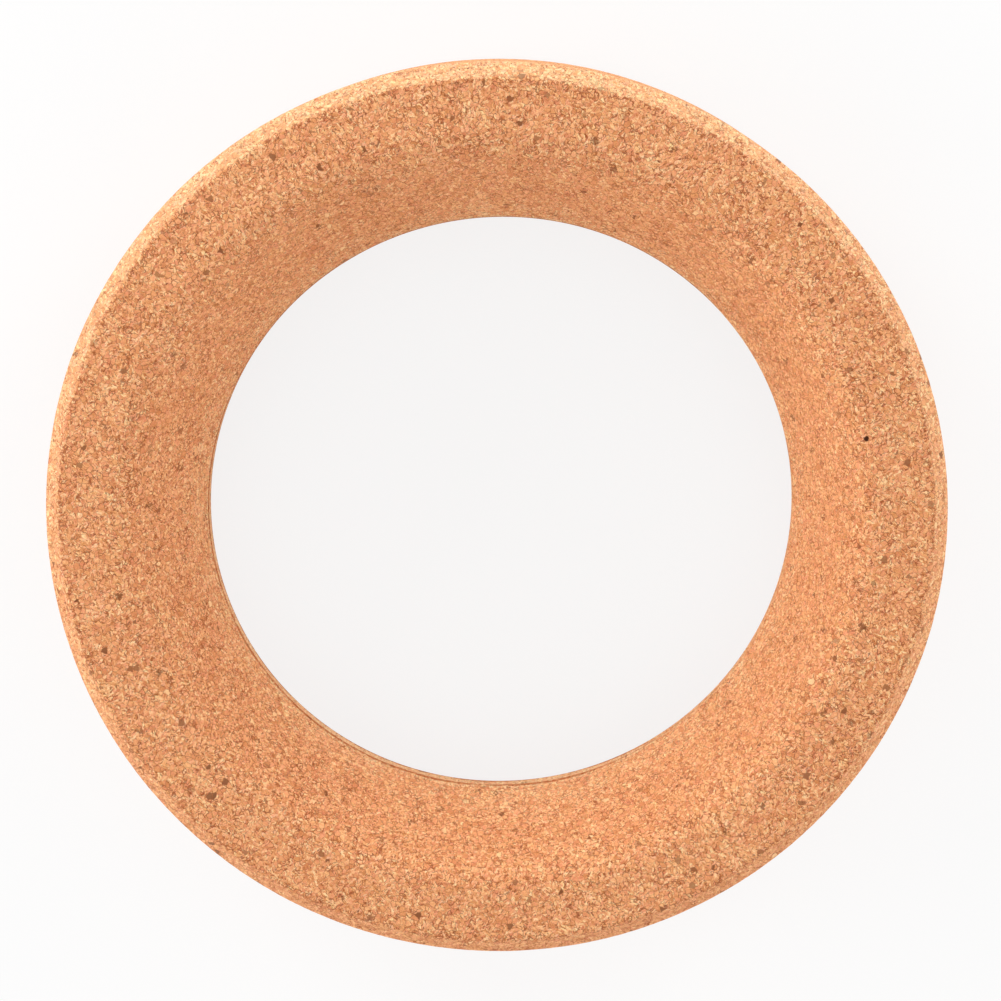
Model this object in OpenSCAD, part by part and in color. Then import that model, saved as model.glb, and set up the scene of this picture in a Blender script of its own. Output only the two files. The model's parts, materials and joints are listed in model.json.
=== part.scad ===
// Cork ring, the round stand that keeps a round-bottomed flask upright.
// One pressed-cork ring lies on Z = 0 with its axis on Z. Both faces are alike:
// a flat outer band, a soft lip, and a convex seat that runs down to a short
// straight throat halfway up, so either face can carry the flask.

/* [Ring] */

// Outside diameter
ring_od = 140; // [134:1:200]

// Height from one flat face to the other
ring_h = 30; // [24:1:44]

// Width and height of the 45 degree chamfer round both outer edges
rim_chamfer = 2.5; // [1:0.1:5]

/* [Flask seats] */

// Diameter at which each flat face starts to round over into its seat
mouth_d = 120; // [114:1:128]

// Radius of that rounding
lip_r = 6; // [2:0.5:9]

// Slope of the surface, in degrees, where the lip ends and the seat begins
seat_slope = 36.87; // [20:0.01:42]

/* [Throat] */

// Diameter of the throat, the narrowest part of the hole
throat_d = 92; // [84:1:100]

// Height of the throat, from the end of one seat to the end of the other
throat_h = 3; // [2:0.1:6]

// Height of the crease left where the throat meets each seat
crease_h = 0.6; // [0.3:0.1:1]

// Depth of that crease, at its middle
crease_depth = 0.3; // [0.1:0.1:0.6]

/* [Hidden] */

$fn = 240;

// The section is drawn about mid-height, with x as the radius and y as the height.
outer_r = ring_od / 2;
half_h = ring_h / 2;
mouth_r = mouth_d / 2;
throat_r = throat_d / 2;

// The lip is an arc that starts level at the flat face and turns down by seat_slope.
lip_start = [mouth_r, half_h];
lip_centre = lip_start - [0, lip_r];
lip_end = lip_centre + lip_r * [-sin(seat_slope), cos(seat_slope)];

// The seat is one more arc, which leaves the lip without a corner. Its radius is the
// one that brings it to the end of the throat, where it has turned by seat_turn.
seat_end = [throat_r, throat_h / 2];
seat_chord = lip_end - seat_end;
seat_turn = 2 * (atan2(seat_chord.y, seat_chord.x) - seat_slope);
seat_r = norm(seat_chord) / (2 * sin(seat_turn / 2));

// How far a cutting outline stands clear of the blank that it cuts.
over = 1;

// The ring's section before its seats are cut: a bar with chamfered outer corners.
module blank() {
    polygon([
        [throat_r, -half_h],
        [outer_r - rim_chamfer, -half_h],
        [outer_r, rim_chamfer - half_h],
        [outer_r, half_h - rim_chamfer],
        [outer_r - rim_chamfer, half_h],
        [throat_r, half_h]
    ]);
}

// What comes off above the lip, between the flat face and the end of its arc.
module lip_cut() {
    difference() {
        polygon([
            lip_start,
            lip_start + [0, over],
            [throat_r, half_h + over],
            lip_end
        ]);
        translate(lip_centre) circle(r = lip_r);
    }
}

// What comes off above the seat. It is drawn level at the end of the lip and turned
// to the slope there, so that the two arcs meet in one line.
module seat_cut() {
    translate(lip_end)
        rotate(seat_slope)
            difference() {
                translate([-ring_h, -half_h]) square(ring_h);
                translate([0, -seat_r]) circle(r = seat_r);
            }
}

// The sharp groove where the throat meets a seat.
module crease_cut() {
    widening = 1 + over / crease_depth;
    translate(seat_end)
        polygon([
            [crease_depth, 0],
            [-over, crease_h / 2 * widening],
            [-over, -crease_h / 2 * widening]
        ]);
}

module upper_cuts() {
    lip_cut();
    seat_cut();
    crease_cut();
}

module ring_section() {
    difference() {
        blank();
        upper_cuts();
        mirror([0, 1]) upper_cuts();
    }
}

module cork_ring() {
    color([0.87, 0.62, 0.43])
        translate([0, 0, half_h])
            rotate_extrude()
                ring_section();
}

cork_ring();
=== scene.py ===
"""Looks of the cork ring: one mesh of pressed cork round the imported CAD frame, in metres."""

import json
import math

import bpy
import numpy as np
from mathutils import Matrix, Vector


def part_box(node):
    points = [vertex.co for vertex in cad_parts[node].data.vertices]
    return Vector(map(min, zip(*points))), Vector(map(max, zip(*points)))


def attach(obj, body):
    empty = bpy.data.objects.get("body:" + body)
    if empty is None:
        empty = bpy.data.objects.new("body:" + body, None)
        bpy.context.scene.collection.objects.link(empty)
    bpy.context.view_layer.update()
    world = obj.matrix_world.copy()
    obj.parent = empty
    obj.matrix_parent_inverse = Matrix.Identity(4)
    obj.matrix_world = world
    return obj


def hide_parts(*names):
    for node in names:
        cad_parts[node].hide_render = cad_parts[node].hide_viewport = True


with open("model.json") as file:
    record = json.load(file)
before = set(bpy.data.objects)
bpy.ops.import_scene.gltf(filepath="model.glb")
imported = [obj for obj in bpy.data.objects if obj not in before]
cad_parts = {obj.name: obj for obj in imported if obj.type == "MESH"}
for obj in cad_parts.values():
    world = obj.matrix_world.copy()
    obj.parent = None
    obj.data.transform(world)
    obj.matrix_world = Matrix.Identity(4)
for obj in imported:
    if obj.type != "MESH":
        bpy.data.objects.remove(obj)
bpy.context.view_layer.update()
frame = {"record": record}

MM = 0.001

# The ring's section. Its diameters and heights come from the frame.
RIM_CHAMFER = 2.5 * MM
BEVEL_TURN = math.radians(45)
EDGE_SOFTNESS = 0.9 * MM  # radius that sanding left along the chamfer's two edges
MOUTH_RADIUS = 60 * MM  # where the flat face starts to round over
LIP_RADIUS = 6 * MM
SEAT_SLOPE = math.radians(36.87)  # where the lip runs into the seat
CREASE_HEIGHT = 0.6 * MM
CREASE_DEPTH = 0.3 * MM

# The hole is a little off centre, and a little oval.
BORE_SHIFT = Vector((0.50 * MM, 0.03 * MM))
BORE_OVAL = 0.43 * MM  # added to the radius along the long axis, taken off across it
BORE_OVAL_TURN = math.radians(21)
BORE_FADE = 10 * MM  # from the mouth inwards
BORE_FADE_DEPTH = 7.5 * MM  # and under each face

# The upper crease is faint on one side, where it also runs lower.
FAINT_TURN = math.radians(-10)
FAINT_REACH = (0.45, 0.85)  # cosines of the angle from that side's middle

# One open pit, on the lip of the upper face; the dark inside it is painted shade.
PIT_TURN = math.radians(12.7)
PIT_FROM_AXIS = 58.3 * MM
PIT_RADIUS = 0.5 * MM
PIT_DEPTH = 0.4 * MM

# The mesh, in cells of about 0.6 mm, and how far it dips below the true section.
COLUMNS = 600
QUARTER = COLUMNS // 4
ROW_STEP = 0.59 * MM
WAVE = 0.06 * MM  # slow unevenness left by the sanding
WAVE_REACH = 9  # in cells
ROUGH = 0.03 * MM  # granules standing and sunk
ROUGH_EDGE = 0.09 * MM  # the same along the chamfer's edges
SHARPEST_TURN = 0.8  # cosine; rows where the section turns more sharply keep their place
SEED = 7
MAP_MARGIN = 0.004

# The camera: how far it stands off the top face, how it leans, where it looks.
CAMERA_DISTANCE = 457 * MM
CAMERA_LEAN = (math.radians(1.346), math.radians(9.739))  # towards +X and +Y
CAMERA_AIM = (0.84 * MM, 3.07 * MM)
LENS = 106.6  # mm, over a sensor as wide as this:
SENSOR = 36.0

# The studio, in metres: low soft boxes, watts by azimuth from +X, and a pale floor.
SOFT_BOXES = {135: 8.5, 45: 7.2, 0: 1.8, 180: 5.9, 270: 4.7}
SOFT_BOX_SIZE = 0.7
SOFT_BOX_DISTANCE = 1.3
SOFT_BOX_RISE = math.radians(15)
ROOM_LIGHT = 0.67
FLOOR_HALF = 3.0
FLOOR_GREY = (0.8, 0.8, 0.8, 1)  # as the light meets it
FLOOR_SHADED = (0.17, 0.17, 0.17, 1)  # the part of what the lens sees that takes a shadow
FLOOR_GLOW = 0.81  # and the part that doesn't
FLOOR_FADE = (0.15, 0.5)  # how far out the table top turns plain white
WHITE = (1, 1, 1, 1)


# ---------------------------------------------------------------- the ring's mesh


def mount(name):
    return next(m for m in frame["record"]["mounts"] if m["name"] == name)


def crease_rise():
    """How far over the ring's middle the throat's upper crease runs."""
    return (mount("throat")["dims"]["length_mm"] * MM + CREASE_HEIGHT) / 2


def stretch(start, end):
    """Points along a straight line, at most ROW_STEP apart, without its last one."""
    count = max(1, math.ceil((end - start).length / ROW_STEP))
    return [start.lerp(end, i / count) for i in range(count)]


def arc(centre, radius, start, end):
    """Points along an arc between two angles from +r, without its last one."""
    count = max(2, math.ceil(abs(end - start) * radius / ROW_STEP))
    angles = [start + (end - start) * i / count for i in range(count)]
    return [centre + radius * Vector((math.cos(a), math.sin(a))) for a in angles]


def upper_section(outer, half, throat, throat_top):
    """Half of the section as (radius, height over the middle), from the throat to the rim."""
    lip_centre = Vector((MOUTH_RADIUS, half - LIP_RADIUS))
    inward = Vector((-math.sin(SEAT_SLOPE), math.cos(SEAT_SLOPE)))
    lip_end = lip_centre + LIP_RADIUS * inward
    seat_end = Vector((throat, throat_top))
    chord = lip_end - seat_end
    turn = 2 * (math.atan2(chord.y, chord.x) - SEAT_SLOPE)
    seat_radius = chord.length / (2 * math.sin(turn / 2))
    seat_centre = lip_end - seat_radius * inward

    level = math.pi / 2
    crease_turn = CREASE_HEIGHT / 2 / seat_radius
    soft_run = EDGE_SOFTNESS * math.tan(BEVEL_TURN / 2)
    top_edge = Vector((outer - RIM_CHAMFER - soft_run, half))
    wall_edge = Vector((outer, half - RIM_CHAMFER - soft_run))
    top_centre = top_edge - Vector((0, EDGE_SOFTNESS))
    wall_centre = wall_edge - Vector((EDGE_SOFTNESS, 0))
    bevel_normal = Vector((math.cos(BEVEL_TURN), math.sin(BEVEL_TURN)))

    points = stretch(Vector((throat, 0)), seat_end - Vector((0, CREASE_HEIGHT / 2)))
    points += [seat_end - Vector((0, CREASE_HEIGHT / 2)), seat_end + Vector((CREASE_DEPTH, 0))]
    points += arc(seat_centre, seat_radius, level + SEAT_SLOPE + turn - crease_turn, level + SEAT_SLOPE)
    points += arc(lip_centre, LIP_RADIUS, level + SEAT_SLOPE, level)
    points += stretch(Vector((MOUTH_RADIUS, half)), top_edge)
    points += arc(top_centre, EDGE_SOFTNESS, level, BEVEL_TURN)
    points += stretch(
        top_centre + EDGE_SOFTNESS * bevel_normal, wall_centre + EDGE_SOFTNESS * bevel_normal
    )
    points += arc(wall_centre, EDGE_SOFTNESS, BEVEL_TURN, 0)
    points += stretch(wall_edge, Vector((outer, 0)))
    return points


def section():
    """The whole section as an array of (radius, height), closed, with the base at 0."""
    low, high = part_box("cork_ring")
    half = (high[2] - low[2]) / 2
    upper = upper_section(high[0], half, mount("throat")["dims"]["r_mm"] * MM, crease_rise())
    rim = Vector((high[0], 0))
    lower = [Vector((p.x, -p.y)) for p in upper[:0:-1]]
    return np.array([(p.x, p.y + half) for p in upper + [rim] + lower])


def pit_place():
    """The middle of the pit's mouth."""
    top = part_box("cork_ring")[1][2]
    drop = LIP_RADIUS - math.sqrt(LIP_RADIUS**2 - (MOUTH_RADIUS - PIT_FROM_AXIS) ** 2)
    return (PIT_FROM_AXIS * math.cos(PIT_TURN), PIT_FROM_AXIS * math.sin(PIT_TURN), top - drop)


def bore_error(radius, height, angle, half):
    """How far the hole stands off a true circle, fading out at the mouths."""
    inside = np.clip((MOUTH_RADIUS - radius) / BORE_FADE, 0, 1)
    weight = inside * np.clip((half - np.abs(height - half)) / BORE_FADE_DEPTH, 0, 1)
    shift = BORE_SHIFT.x * np.cos(angle) + BORE_SHIFT.y * np.sin(angle)
    return weight * (shift + BORE_OVAL * np.cos(2 * (angle - BORE_OVAL_TURN)))


def smooth_noise(random, shape, reach):
    """Slow noise from 0 to 1 over the grid of vertices, which repeats both ways."""
    field = random.normal(size=shape)
    for axis in (0, 1) * 2:
        field = sum(np.roll(field, step, axis) for step in range(-reach, reach + 1))
    return (field - field.min()) / (field.max() - field.min())


def dips(profile, bend):
    """How far each vertex lies below the true section."""
    random = np.random.default_rng(SEED)
    shape = (COLUMNS, len(profile))
    edge = profile[:, 0].max() - RIM_CHAMFER
    near_edge = np.clip(1 - np.abs(profile[:, 0] - edge) / RIM_CHAMFER, 0, 1)
    rough = ROUGH + (ROUGH_EDGE - ROUGH) * near_edge
    depth = WAVE * smooth_noise(random, shape, WAVE_REACH) + rough * random.random(shape)
    return depth * (bend > SHARPEST_TURN)


def inward_normals(profile):
    """At each row, the way into the cork, and the cosine of the turn that the section makes."""
    step = np.roll(profile, -1, axis=0) - profile
    into = np.stack([step[:, 1], -step[:, 0]], axis=-1) / np.linalg.norm(step, axis=1)[:, None]
    before = np.roll(into, 1, axis=0)
    bend = (into * before).sum(axis=1)
    both = into + before
    return both / np.linalg.norm(both, axis=1)[:, None], bend


def unwrap(mesh, column, row, run):
    """A map for baked colours: the ring's four quarters, laid flat two by two."""
    quarter = column // QUARTER
    start = column - quarter * QUARTER
    across = np.stack([start, start, start + 1, start + 1], axis=-1) / QUARTER
    along = np.stack([run[row], run[row + 1], run[row + 1], run[row]], axis=-1) / run[-1]
    spots = np.stack([across, along], axis=-1) * (1 - 2 * MAP_MARGIN) + MAP_MARGIN
    corner = np.stack([quarter % 2, quarter // 2], axis=-1)[:, :, None, :]
    layer = mesh.uv_layers.new(name="OFBake")
    layer.uv.foreach_set("vector", ((spots + corner) / 2).astype(np.float32).ravel())


def press_pit(place, inward):
    """Moves the vertex nearest the pit's mouth to the bottom of the pit."""
    mouth = np.array(pit_place())
    nearest = np.linalg.norm(place - mouth, axis=-1).argmin()
    column, row = np.unravel_index(nearest, place.shape[:2])
    way_in = np.array([inward[row, 0] * mouth[0], inward[row, 0] * mouth[1], 0]) / PIT_FROM_AXIS
    way_in[2] = inward[row, 1]
    place[column, row] = mouth + PIT_DEPTH * way_in


def ring_places(profile):
    """Where each vertex lies: the section turned about Z, with all its small unevenness."""
    half = profile[:, 1].max() / 2
    angle = np.linspace(0, 2 * math.pi, COLUMNS, endpoint=False)[:, None]
    inward, bend = inward_normals(profile)
    depth = dips(profile, bend)
    faint = np.clip((np.cos(angle - FAINT_TURN) - FAINT_REACH[0]) / np.ptp(FAINT_REACH), 0, 1)
    groove = np.isclose(profile[:, 1], half + crease_rise()) & (profile[:, 0] < MOUTH_RADIUS)
    radius = profile[:, 0] + inward[:, 0] * depth - CREASE_DEPTH * faint * groove
    height = profile[:, 1] + inward[:, 1] * depth
    radius = radius + bore_error(radius, height, angle, half)
    place = np.stack([radius * np.cos(angle), radius * np.sin(angle), height], axis=-1)
    press_pit(place, inward)
    return place


def ring_mesh():
    """The ring as one closed mesh of four-sided faces."""
    profile = section()
    rows = len(profile)
    column, row = np.meshgrid(np.arange(COLUMNS), np.arange(rows), indexing="ij")
    next_column, next_row = (column + 1) % COLUMNS, (row + 1) % rows
    corners = [
        column * rows + row,
        column * rows + next_row,
        next_column * rows + next_row,
        next_column * rows + row,
    ]
    mesh = bpy.data.meshes.new("pressed_cork")
    faces = np.stack(corners, axis=-1).reshape(-1, 4)
    mesh.from_pydata(ring_places(profile).reshape(-1, 3).tolist(), [], faces.tolist())
    steps = np.linalg.norm(np.roll(profile, -1, axis=0) - profile, axis=1)
    unwrap(mesh, column, row, np.concatenate([[0], np.cumsum(steps)]))
    mesh.shade_smooth()
    mesh.update()
    return mesh


# ---------------------------------------------------------------- cork


def srgb(red, green, blue):
    """A colour written 0 to 255, as the linear colour that a shader takes."""
    parts = [c / 255 for c in (red, green, blue)]
    return (*[c / 12.92 if c < 0.04045 else ((c + 0.055) / 1.055) ** 2.4 for c in parts], 1)


PALETTE = (
    (0.00, srgb(172, 92, 46)),
    (0.14, srgb(194, 111, 63)),
    (0.32, srgb(214, 135, 84)),
    (0.50, srgb(230, 154, 102)),
    (0.68, srgb(243, 171, 118)),
    (0.84, srgb(253, 191, 137)),
    (1.00, srgb(255, 216, 164)),
)
PINK = srgb(230, 144, 106)
CREAM = srgb(252, 212, 156)
# the gaps and cracks between crumbs: partly the cork's own dark, partly painted shade
GAP_SHADE = srgb(136, 54, 16)
# painted shade along the throat's crease
CREASE_SHADE = srgb(172, 76, 14)
BARK = srgb(120, 70, 42)
BURNT = srgb(100, 52, 28)
# painted shade in the pit
PIT_SHADE = srgb(78, 44, 28)
DUST = srgb(255, 238, 200)
OLIVE_TINT = (0.989, 1.046, 0.95, 1)
ROSE_TINT = (1.011, 0.954, 1.05, 1)
CRUMB_TINT = 0.59  # how much of a tint is each crumb's own, and how much its granule's
GRANULE_TINT = 0.41

# Pressed cork is crumbs, with whole granules among them. Sizes across:
CRUMB = 0.26 * MM
GRAIN_PULL = (0.42, 1.0, 0.7)  # how a crumb is squeezed along, across and through its grain
GRAIN_TURNS = (25, 85, 145)  # the grain's three ways, in degrees
GRANULE = 0.80 * MM
FLECK = 1.5 * MM
GRIT = 0.16 * MM
SHADE = 0.45 * MM  # soft shading inside a granule
OPEN_PATCH = 1.9 * MM  # where the gaps stand open together
PATCH = 5 * MM  # slow change of tone
BEND = 0.6 * MM  # over what length an outline bends
STRAY = 0.56 * MM  # how far it strays, at the most
RELIEF = 0.10 * MM  # from a crumb's face to the gap beside it
GRANULE_RELIEF = 0.5  # a whole granule's part of that
GRIT_RELIEF = 0.3

# Shares of the crumbs and granules, and how softly each choice fades.
WHOLE_SHARE = (0.18, 0.02)
PALE_SHARE = (0.02, 0.01)
BARK_SHARE = (0.009, 0.001)
FLECK_SHARE = (0.028, 0.002)
BURNT_SHARE = (0.016, 0.002)
PINK_SHARE = (0.20, 0.18)
LOOSE_SHARE = (0.20, 0.35)
DRAGGED_SHARE = 0.7  # on the seats
LOOSE_AT_EDGE = 0.3  # added to a crumb's number before the choice, as are the next two
LOOSE_ON_SEAT = -0.01
BURNT_IN_PATCH = 0.012
OPEN = (0.50, 0.66)  # of the open patches' noise
CRACKED_WHOLE = 0.75  # how far the cracks open round whole granules elsewhere

# Distances from a crumb's or a granule's middle, or from its outline, in its own size.
GRAIN_FACE = (0.30, 0.48)
GRAIN_EDGE = (0.46, 0.56)
BURNT_EDGE = (0.50, 0.35)
FLECK_EDGE = (0.44, 0.34)
FLECK_RAGGED = (0.22, 0.08)  # by the shading and by the grit
OUTLINE = (0.03, 0.06)
CRACK = (0.09, 0.03)
PIT_RAGGED = (0.08 * MM, 0.06 * MM)  # the same for the pit, as lengths
PIT_FADE = 0.6  # of the pit's radius

# Tones on the palette.
CRUMB_TONES = (0.225, 0.85)
WHOLE_TONES = (0.36, 0.80)
CALM_TONE = 0.35  # where a tool has smeared the crumbs, with its marks added
MARK_TONE = 0.4
CALM_SHARE = 0.11
TONE_SHIFT = 0.015
SEAT_TONE = -0.04
RIND_TONE = 0.14
PATCH_TONE = 0.03
GRIT_TONE = 0.18
SHADE_TONE = 0.12
STREAK_TONE = 0.5
THROAT_TONE = 0.11
# Painted light: the throat's wall and the crest over its crease are made lighter.
PAINTED_WALL_LIGHT = 0.26
PAINTED_SIDE_LIGHT = (-0.08, 0.20)  # painted light round the rim: darker towards -Y, lighter towards +Y
SIDE_LIGHT_LOW = 0.2  # what is left of them low on the wall

# How strongly each paint covers; a pair is for the least and the most.
PINK_COVER = 0.35
GAP_SHADE_COVER = (0.74, 0.55)  # on raw cork, and where a tool went over it
CREASE_SHADE_COVER = (0.25, 0.85)
FAINT_COVER = 0.3  # of the crease's, on its faint side
FLECK_COVER = (0.25, 0.8)
BROKEN_BARK = (0.85, 0.25)  # on the seats, by each crumb's number for its tone
BARK_COVER = (0.5, 0.9)
BURNT_COVER = 0.7
PALE_COVER = 0.5
RIM_DUST = 0.05
WALL_DUST = 0.06
SEAT_DUST = 0.012

# What turning and sanding did.
CRUMB_CIRCLE = 42 * MM  # radius of the circle that dragged crumbs are laid on
MARK_CIRCLE = 5.25 * MM  # radius of the circle that the tool's marks are laid on
MARK = 0.3 * MM  # between the marks
LAND_MIDDLE = 63 * MM  # radius of the flat face, halfway across
LAID_FALL = 0.8  # how much lower a place is laid for each step away from there
SEAT_START = (1 * MM, 8 * MM)  # inside the mouth
COARSE_TURN = math.radians(228)  # the side where the tool left the seat coarser
COARSE = (1.0, -0.3)  # cosines of the angle from there, where that starts and ends
SEAT_BORDER = (0.4, 0.6)  # where dragged crumbs start, on the way from 0 to 1 there
RIM_START = (-0.3 * MM, 0.5 * MM)  # outside the chamfer's edge
CRUMBLED_FROM = -0.2 * MM
CRUMBLED = (0.8 * MM, 0.1 * MM)  # either side of there
RIM_DEPTH = 3 * MM  # down the wall
SIDE_LIGHT_DEPTH = 12 * MM
THROAT_START = (50 * MM, 46.5 * MM)
BORE_END = (47.8 * MM, 47.3 * MM)
LINE_EDGE = (0.32 * MM, 0.10 * MM)
LINE_DROP = 0.3 * MM  # of the painted crease shade, as it is seen, under the groove's middle
CREST_RISE = 0.6 * MM  # of the painted crest highlight, over the crease
WALL_START = (-0.1 * MM, -0.4 * MM)
FAINT_DROP = 1.0 * MM
WANDER = 0.25 * MM
WANDER_REACH = 14 * MM

NOISE_DETAIL = 1.0
NOISE_ROUGHNESS = 0.6
NOISE_MIDDLE = 0.5
NOISE_SPAN = (0.25, 0.75)  # nearly all of a noise lies in it
ROUGHNESS = (0.80, 0.92)
GRIT_ROUGHNESS = 0.05
SPECULAR_LEVEL = 0.12


class Graph:
    """Shader nodes written as calls: each adds a node and gives back its output."""

    def __init__(self, tree):
        self.tree = tree

    def node(self, kind, sockets, output=0, **settings):
        return self.nodes(kind, sockets, **settings)[output]

    def nodes(self, kind, sockets, **settings):
        made = self.tree.nodes.new("ShaderNode" + kind)
        for name, value in settings.items():
            setattr(made, name, value)
        for name, value in sockets.items():
            if isinstance(value, bpy.types.NodeSocket):
                self.tree.links.new(value, made.inputs[name])
            else:
                made.inputs[name].default_value = value
        return made.outputs

    def math(self, operation, first, second=0.0):
        return self.node("Math", {0: first, 1: second}, operation=operation)

    def times(self, first, *others):
        for other in others:
            first = self.math("MULTIPLY", first, other)
        return first

    def plus(self, first, *others):
        for other in others:
            first = self.math("ADD", first, other)
        return first

    def most(self, first, *others):
        for other in others:
            first = self.math("MAXIMUM", first, other)
        return first

    def apart(self, first, second):
        """How far two numbers are apart."""
        return self.math("ABSOLUTE", self.math("SUBTRACT", first, second))

    def rest(self, share):
        return self.math("SUBTRACT", 1.0, share)

    def vector(self, operation, first, second=(0, 0, 0)):
        return self.node("VectorMath", {0: first, 1: second}, operation=operation)

    def number(self, operation, first, second=(0, 0, 0)):
        return self.node("VectorMath", {0: first, 1: second}, "Value", operation=operation)

    def scaled(self, vector, factor):
        return self.node("VectorMath", {0: vector, "Scale": factor}, operation="SCALE")

    def between(self, value, low, high):
        """Goes smoothly from 0 to 1 while the value goes from low to high."""
        sockets = {"Value": value, "From Min": low, "From Max": high}
        return self.node("MapRange", sockets, interpolation_type="SMOOTHSTEP")

    def pick(self, number, share, fade):
        """1 for that share of the random numbers, and 0 for the others."""
        return self.between(number, 1 - share - fade, 1 - share)

    def spread(self, value, start, end):
        """A number from 0 to 1 laid out evenly from start to end."""
        return self.node("MapRange", {"Value": value, "To Min": start, "To Max": end})

    def share(self, value):
        """A number from -1 to 1, as a share from 0 to 1."""
        return self.node("MapRange", {"Value": value, "From Min": -1.0})

    def mix(self, share, first, second):
        return self.node("Mix", {0: share, 2: first, 3: second}, data_type="FLOAT")

    def either(self, share, first, second):
        return self.node("Mix", {0: share, 4: first, 5: second}, 1, data_type="VECTOR")

    def paint(self, share, under, over):
        return self.node("Mix", {0: share, 6: under, 7: over}, 2, data_type="RGBA")

    def ramp(self, value, stops):
        made = self.tree.nodes.new("ShaderNodeValToRGB")
        self.tree.links.new(value, made.inputs[0])
        elements = made.color_ramp.elements
        while len(elements) < len(stops):
            elements.new(0.5)
        for element, (place, colour) in zip(elements, stops):
            element.position = place
            element.color = colour
        return made.outputs[0]

    def noise(self, place, size, output="Fac"):
        sockets = {"Vector": place, "Scale": 1 / size}
        sockets.update({"Detail": NOISE_DETAIL, "Roughness": NOISE_ROUGHNESS})
        return self.node("TexNoise", sockets, output)

    def swing(self, place, size, reach=1.0):
        """A noise of that size, up to about reach either side of nothing."""
        sockets = {"Value": self.noise(place, size), "To Min": -reach, "To Max": reach}
        sockets.update({"From Min": NOISE_SPAN[0], "From Max": NOISE_SPAN[1]})
        return self.node("MapRange", sockets, clamp=False)

    def cells(self, place, size):
        """Granules of that size: three random numbers each, and how far a point is from its middle."""
        found = self.nodes("TexVoronoi", {"Vector": place, "Scale": 1 / size}, feature="F1")
        return self.nodes("SeparateColor", {0: found["Color"]}), found["Distance"]

    def outline(self, place, size):
        """How far a point is from the outline of its granule."""
        sockets = {"Vector": place, "Scale": 1 / size}
        return self.node("TexVoronoi", sockets, feature="DISTANCE_TO_EDGE")


def ring_place(graph, place):
    """A place as its radius, its rise over or under the ring's middle, and its way out from the axis."""
    low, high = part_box("cork_ring")
    flat = graph.vector("MULTIPLY", place, (1, 1, 0))
    height = graph.node("SeparateXYZ", {0: place}, 2)
    rise = graph.apart(height, (low[2] + high[2]) / 2)
    return graph.number("LENGTH", flat), rise, graph.vector("NORMALIZE", flat)


def facing(graph, way, turn):
    """The cosine of the angle round the ring from one side's middle."""
    return graph.number("DOT_PRODUCT", way, (math.cos(turn), math.sin(turn), 0))


def drawn_round(graph, radius, rise, way):
    """The place drawn out round the ring, as a tool drags the cork, and the tool's marks."""
    along = graph.math("SUBTRACT", rise, graph.times(graph.apart(radius, LAND_MIDDLE), LAID_FALL))
    lift = graph.node("CombineXYZ", {2: along})
    drawn = graph.vector("ADD", graph.scaled(way, CRUMB_CIRCLE), lift)
    marks = graph.vector("ADD", graph.scaled(way, MARK_CIRCLE), lift)
    return drawn, graph.noise(marks, MARK)


def rim_zones(graph, radius, rise, way):
    """The rim, the crumbling edge of its chamfer, and painted light that makes the rim darker towards -Y
    and lighter towards +Y.
    """
    low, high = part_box("cork_ring")
    edge = high[0] - RIM_CHAMFER
    wall_top = (high[2] - low[2]) / 2 - RIM_CHAMFER
    rim = graph.between(radius, edge + RIM_START[0], edge + RIM_START[1])
    side = graph.share(graph.node("SeparateXYZ", {0: way}, 1))
    high_up = graph.spread(graph.between(rise, wall_top - SIDE_LIGHT_DEPTH, wall_top), SIDE_LIGHT_LOW, 1)
    painted_side_light = graph.times(rim, graph.spread(side, *PAINTED_SIDE_LIGHT), high_up)
    rim = graph.times(rim, graph.between(rise, wall_top - RIM_DEPTH, wall_top))
    crumbling = graph.between(graph.apart(radius, edge + CRUMBLED_FROM), *CRUMBLED)
    return rim, crumbling, painted_side_light


def throat_zones(graph, radius, rise, way):
    """The throat's crease line, where shade is painted; the crest along it, where a highlight is
    painted; and the wall between the two creases, where light is painted.
    """
    faint = graph.between(facing(graph, way, FAINT_TURN), *FAINT_REACH)
    round_throat = graph.scaled(way, mount("throat")["dims"]["r_mm"] * MM)
    wander = graph.swing(round_throat, WANDER_REACH, WANDER)
    wander = graph.plus(wander, graph.times(faint, FAINT_DROP))
    over = graph.math("SUBTRACT", graph.plus(rise, wander), crease_rise() - LINE_DROP)
    bore = graph.between(radius, *BORE_END)
    line = graph.times(graph.between(graph.apart(over, 0), *LINE_EDGE), bore)
    crease_shade = graph.times(line, graph.spread(faint, 1.0, FAINT_COVER))
    crest = graph.times(graph.between(graph.apart(over, CREST_RISE), *LINE_EDGE), bore)
    wall = graph.times(graph.between(over, *WALL_START), bore)
    return crease_shade, crest, wall


def grained(graph, place, drawn, granule, seat):
    """The place laid along each granule's own grain, or round the ring where a tool dragged it."""
    ways = []
    for turn in GRAIN_TURNS:
        sockets = {"Vector": place, "Angle": math.radians(turn)}
        turned = graph.node("VectorRotate", sockets, rotation_type="Z_AXIS")
        ways.append(graph.vector("MULTIPLY", turned, GRAIN_PULL))
    laid = graph.either(graph.math("GREATER_THAN", granule[1], 1 / 3), ways[0], ways[1])
    laid = graph.either(graph.math("GREATER_THAN", granule[1], 2 / 3), laid, ways[2])
    on_seat = graph.between(seat, *SEAT_BORDER)
    dragged = graph.math("LESS_THAN", granule[2], graph.times(on_seat, DRAGGED_SHARE))
    return graph.either(dragged, laid, drawn)


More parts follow.
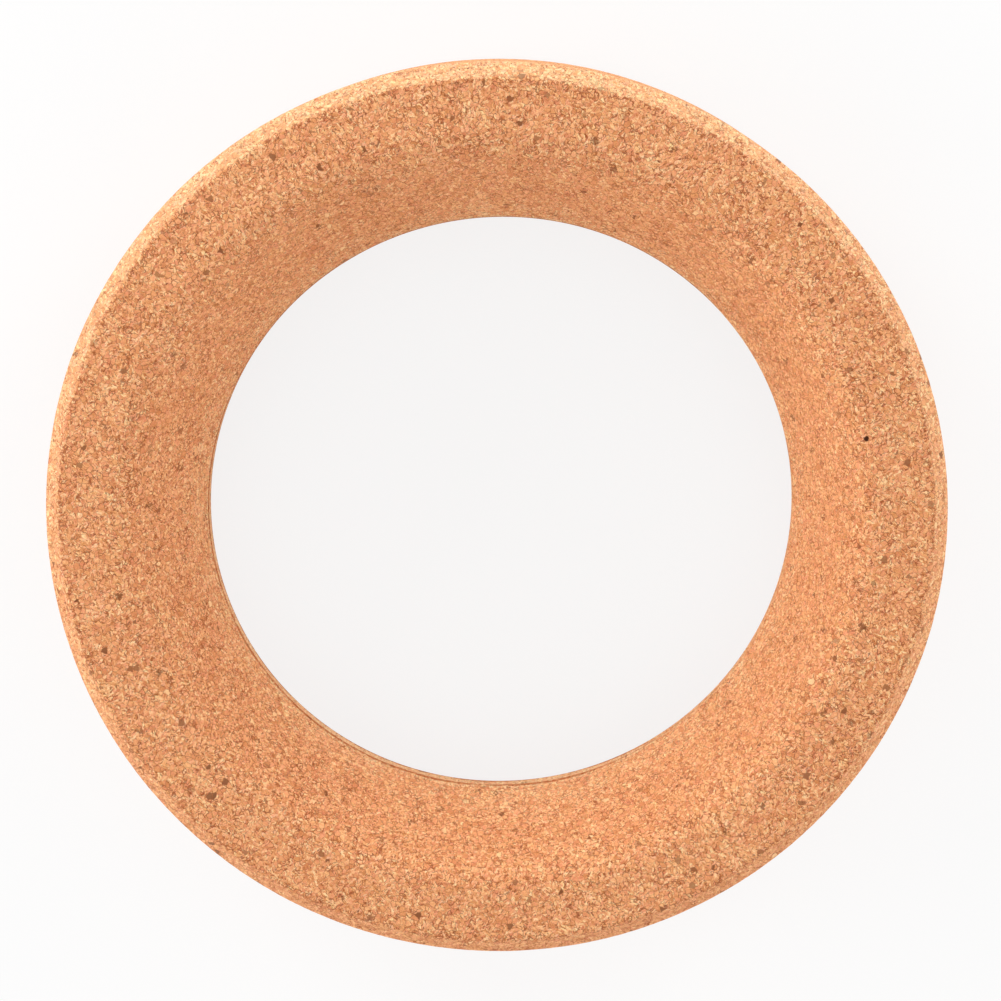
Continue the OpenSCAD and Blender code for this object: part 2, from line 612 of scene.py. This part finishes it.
class Cork:
    """What lies at each point of the pressed cork: crumb, granule, and what the tools did there."""

    def __init__(self, graph):
        # Every outline is a little ragged, and so are the borders of the worked places.
        self.graph = graph
        self.place = graph.node("TexCoord", {}, "Object")
        stray = graph.vector("SUBTRACT", graph.noise(self.place, BEND, "Color"), (NOISE_MIDDLE,) * 3)
        self.ragged = graph.vector("ADD", self.place, graph.scaled(stray, STRAY))
        self.grit = graph.swing(self.place, GRIT)
        self.shade = graph.swing(self.ragged, SHADE)

        radius, rise, way = ring_place(graph, self.ragged)
        drawn, self.marks = drawn_round(graph, radius, rise, way)
        self.seat = graph.between(radius, MOUTH_RADIUS - SEAT_START[0], MOUTH_RADIUS - SEAT_START[1])
        self.throat = graph.between(radius, *THROAT_START)
        self.rim, self.crumbling, self.painted_side_light = rim_zones(graph, radius, rise, way)
        self.line, self.crest, self.wall = throat_zones(graph, radius, rise, way)
        fine = graph.between(facing(graph, way, COARSE_TURN), *COARSE)
        self.turned = graph.most(graph.times(self.seat, fine), self.throat, self.rim)

        self.granule, self.granule_out = graph.cells(self.ragged, GRANULE)
        self.granule_edge = graph.outline(self.ragged, GRANULE)
        laid = grained(graph, self.ragged, drawn, self.granule, self.seat)
        self.crumb, self.crumb_out = graph.cells(laid, CRUMB)
        self.chosen = graph.pick(self.granule[0], *WHOLE_SHARE)
        self.whole = graph.times(self.chosen, graph.between(self.granule_edge, *OUTLINE))
        self.open_patch = graph.between(graph.noise(self.place, OPEN_PATCH), *OPEN)

    def tone(self):
        """The tone of each crumb and granule, calmer where a tool has smeared them."""
        graph = self.graph
        crumb_tone = graph.spread(self.crumb[0], *CRUMB_TONES)
        whole_tone = graph.spread(self.granule[2], *WHOLE_TONES)
        rind = graph.times(graph.between(self.crumb_out, *GRAIN_FACE), graph.rest(self.whole), RIND_TONE)
        tone = graph.mix(self.whole, crumb_tone, whole_tone)
        tone = graph.plus(tone, graph.swing(self.place, PATCH, PATCH_TONE), rind)
        calm = graph.plus(graph.times(self.marks, MARK_TONE), CALM_TONE)
        tone = graph.mix(graph.times(self.turned, CALM_SHARE), tone, calm)
        streak = graph.math("SUBTRACT", self.marks, NOISE_MIDDLE)
        tone = graph.plus(tone, graph.times(streak, self.throat, STREAK_TONE))
        tone = graph.plus(tone, graph.times(self.throat, THROAT_TONE), graph.times(self.seat, SEAT_TONE))
        # painted light: the throat's wall and the crest over its crease lighter, and the rim lighter
        # towards +Y and darker towards -Y
        tone = graph.plus(tone, graph.times(graph.most(self.crest, self.wall), PAINTED_WALL_LIGHT), self.painted_side_light)
        tone = graph.plus(tone, graph.times(self.grit, GRIT_TONE), graph.times(self.shade, SHADE_TONE))
        return graph.plus(tone, TONE_SHIFT)

    def hue(self, colour):
        """Some crumbs are pinker, and each leans a little to olive or to rose."""
        graph = self.graph
        pink = graph.times(graph.pick(self.crumb[1], *PINK_SHARE), PINK_COVER)
        colour = graph.paint(pink, colour, PINK)
        own = graph.times(self.crumb[1], CRUMB_TINT)
        tint = graph.plus(own, graph.times(self.granule[1], GRANULE_TINT))
        return graph.vector("MULTIPLY", colour, graph.paint(tint, OLIVE_TINT, ROSE_TINT))

    def gaps_and_shade(self):
        """Gaps on one side of some crumbs, and cracks round some granules: partly the cork's own dark
        gaps, partly painted shade that falls in them.
        """
        graph = self.graph
        loose = graph.plus(self.crumb[2], graph.times(self.crumbling, LOOSE_AT_EDGE))
        loose = graph.plus(loose, graph.times(self.seat, LOOSE_ON_SEAT))
        gap_shade = graph.times(graph.between(self.crumb_out, *GRAIN_EDGE), graph.pick(loose, *LOOSE_SHARE))
        cracked = graph.most(self.open_patch, graph.times(self.chosen, CRACKED_WHOLE))
        crack = graph.times(graph.between(self.granule_edge, *CRACK), cracked)
        return graph.most(graph.times(gap_shade, graph.rest(self.whole)), crack)

    def bark(self):
        """Flecks of bark in the crumbs, and whole granules of it, both broken up on the seats."""
        graph = self.graph
        fleck, out = graph.cells(self.ragged, FLECK)
        out = graph.plus(out, graph.times(self.shade, FLECK_RAGGED[0]))
        out = graph.plus(out, graph.times(self.grit, FLECK_RAGGED[1]))
        flecks = graph.times(graph.pick(fleck[0], *FLECK_SHARE), graph.between(out, *FLECK_EDGE))
        flecks = graph.times(flecks, graph.spread(fleck[1], *FLECK_COVER))
        granules = graph.times(graph.pick(self.granule[0], *BARK_SHARE), self.whole)
        bark = graph.most(flecks, graph.times(granules, graph.spread(self.granule[1], *BARK_COVER)))
        return graph.times(bark, graph.mix(self.seat, 1.0, graph.between(self.crumb[0], *BROKEN_BARK)))

    def burnt(self):
        """Burnt crumbs, more of them where the gaps stand open."""
        graph = self.graph
        number = graph.plus(self.crumb[1], graph.times(self.open_patch, BURNT_IN_PATCH))
        burnt = graph.times(graph.pick(number, *BURNT_SHARE), graph.between(self.crumb_out, *BURNT_EDGE))
        return graph.times(burnt, BURNT_COVER)

    def pit_shade(self):
        graph = self.graph
        # painted shade: a dark ragged disc where the pit sinks in
        middle = Vector(pit_place()) - Vector((0, 0, PIT_DEPTH / 2))
        away = graph.number("DISTANCE", self.place, middle)
        away = graph.plus(away, graph.times(self.shade, PIT_RAGGED[0]))
        away = graph.plus(away, graph.times(self.grit, PIT_RAGGED[1]))
        return graph.between(away, PIT_RADIUS, PIT_RADIUS * PIT_FADE)

    def dust(self):
        """Sanding dust."""
        graph = self.graph
        dust = graph.plus(graph.times(self.rim, RIM_DUST), graph.times(self.wall, WALL_DUST))
        return graph.plus(dust, graph.times(self.seat, SEAT_DUST))

    def colour(self):
        graph = self.graph
        gap_shade = self.gaps_and_shade()
        crease_shade = graph.times(self.line, graph.spread(self.marks, *CREASE_SHADE_COVER))
        pale = graph.times(graph.pick(self.granule[2], *PALE_SHARE), self.whole)
        colour = self.hue(graph.ramp(self.tone(), PALETTE))
        # the gaps and cracks: partly the cork's own dark, partly painted shade in them
        colour = graph.paint(graph.times(gap_shade, graph.mix(self.turned, *GAP_SHADE_COVER)), colour, GAP_SHADE)
        # painted shade along the throat's crease
        colour = graph.paint(crease_shade, colour, CREASE_SHADE)
        colour = graph.paint(self.bark(), colour, BARK)
        colour = graph.paint(self.burnt(), colour, BURNT)
        colour = graph.paint(graph.times(pale, PALE_COVER), colour, CREAM)
        colour = graph.paint(self.pit_shade(), colour, PIT_SHADE)
        clean = graph.rest(graph.most(gap_shade, crease_shade))
        return graph.paint(graph.times(self.dust(), clean), colour, DUST)

    def relief(self):
        """The surface's small heights: crumbs and granules are domed, and the grit stands on them."""
        graph = self.graph
        domes = graph.mix(self.whole, self.crumb_out, graph.times(self.granule_out, GRANULE_RELIEF))
        height = graph.plus(graph.times(domes, -1.0), graph.times(self.grit, GRIT_RELIEF))
        return graph.node("Bump", {"Strength": 1.0, "Distance": RELIEF, "Height": height})

    def roughness(self):
        graph = self.graph
        own = graph.spread(self.crumb[0], *ROUGHNESS)
        return graph.plus(graph.times(self.grit, GRIT_ROUGHNESS), own)


def cork_material():
    material = bpy.data.materials.new("cork")
    material.use_nodes = True
    tree = material.node_tree
    shader = tree.nodes["Principled BSDF"]
    cork = Cork(Graph(tree))
    tree.links.new(cork.colour(), shader.inputs["Base Color"])
    tree.links.new(cork.relief(), shader.inputs["Normal"])
    tree.links.new(cork.roughness(), shader.inputs["Roughness"])
    shader.inputs["Specular IOR Level"].default_value = SPECULAR_LEVEL
    return material


# ---------------------------------------------------------------- camera, floor, light


def camera():
    data = bpy.data.cameras.new("camera")
    data.sensor_width = SENSOR
    data.lens = LENS
    holder = bpy.data.objects.new("camera", data)
    bpy.context.scene.collection.objects.link(holder)
    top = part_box("cork_ring")[1][2]
    lean = Vector((math.tan(CAMERA_LEAN[0]), math.tan(CAMERA_LEAN[1]), 1)).normalized()
    holder.location = Vector((0, 0, top)) + CAMERA_DISTANCE * lean
    away = (holder.location - Vector((*CAMERA_AIM, top))).normalized()
    right = Vector((0, 1, 0)).cross(away).normalized()
    turn = Matrix((right, away.cross(right), away)).transposed()
    holder.rotation_euler = turn.to_euler()
    bpy.context.scene.camera = holder


def white_to_the_lens(tree, surface, emission):
    """Joins two shaders: the camera, mirrors and glass see the emission, and light meets the surface."""
    graph = Graph(tree)
    path = tree.nodes.new("ShaderNodeLightPath").outputs
    seen = graph.most(path["Is Camera Ray"], path["Is Glossy Ray"], path["Is Transmission Ray"])
    return graph.node("MixShader", {0: seen, 1: surface, 2: emission})


def floor():
    """A pale table top, white where nothing shades it."""
    corners = [(x * FLOOR_HALF, y * FLOOR_HALF, 0) for x, y in ((-1, -1), (1, -1), (1, 1), (-1, 1))]
    mesh = bpy.data.meshes.new("floor")
    mesh.from_pydata(corners, [], [(0, 1, 2, 3)])
    piece = bpy.data.objects.new("floor", mesh)
    bpy.context.scene.collection.objects.link(piece)
    material = bpy.data.materials.new("pale_floor")
    material.use_nodes = True
    tree = material.node_tree
    graph = Graph(tree)
    paint = tree.nodes["Principled BSDF"]
    paint.inputs["Base Color"].default_value = FLOOR_GREY
    paint.inputs["Roughness"].default_value = 1.0
    paint.inputs["Specular IOR Level"].default_value = 0.0
    shaded = graph.node("BsdfDiffuse", {"Color": FLOOR_SHADED})
    glow = graph.node("Emission", {"Color": WHITE, "Strength": FLOOR_GLOW})
    near = graph.node("AddShader", {0: shaded, 1: glow})
    far = graph.node("Emission", {"Color": WHITE, "Strength": 1.0})
    distance = graph.number("LENGTH", graph.node("TexCoord", {}, "Object"))
    seen = graph.node("MixShader", {0: graph.between(distance, *FLOOR_FADE), 1: near, 2: far})
    output = tree.nodes["Material Output"]
    tree.links.new(white_to_the_lens(tree, paint.outputs[0], seen), output.inputs["Surface"])
    mesh.materials.append(material)


def soft_box(azimuth, watts):
    data = bpy.data.lights.new("soft_box", "AREA")
    data.shape = "DISK"
    data.size = SOFT_BOX_SIZE
    data.energy = watts
    lamp = bpy.data.objects.new("soft_box", data)
    bpy.context.scene.collection.objects.link(lamp)
    across = SOFT_BOX_DISTANCE * math.cos(SOFT_BOX_RISE)
    height = SOFT_BOX_DISTANCE * math.sin(SOFT_BOX_RISE)
    turn = math.radians(azimuth)
    lamp.location = (across * math.cos(turn), across * math.sin(turn), height)
    lamp.rotation_euler = (-lamp.location).to_track_quat("-Z", "Y").to_euler()


def room():
    """Faint light from everywhere, and white behind the floor."""
    world = bpy.data.worlds.new("room")
    bpy.context.scene.world = world
    world.use_nodes = True
    tree = world.node_tree
    graph = Graph(tree)
    faint = tree.nodes["Background"]
    faint.inputs["Color"].default_value = WHITE
    faint.inputs["Strength"].default_value = ROOM_LIGHT
    white = graph.node("Background", {"Color": WHITE, "Strength": 1.0})
    seen = white_to_the_lens(tree, faint.outputs[0], white)
    tree.links.new(seen, tree.nodes["World Output"].inputs["Surface"])


ring = bpy.data.objects.new("pressed_cork", ring_mesh())
bpy.context.scene.collection.objects.link(ring)
ring.data.materials.append(cork_material())
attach(ring, "root")
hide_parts("cork_ring")

camera()
floor()
room()
for azimuth, watts in SOFT_BOXES.items():
    soft_box(azimuth, watts)
bpy.context.scene.view_settings.view_transform = "Standard"
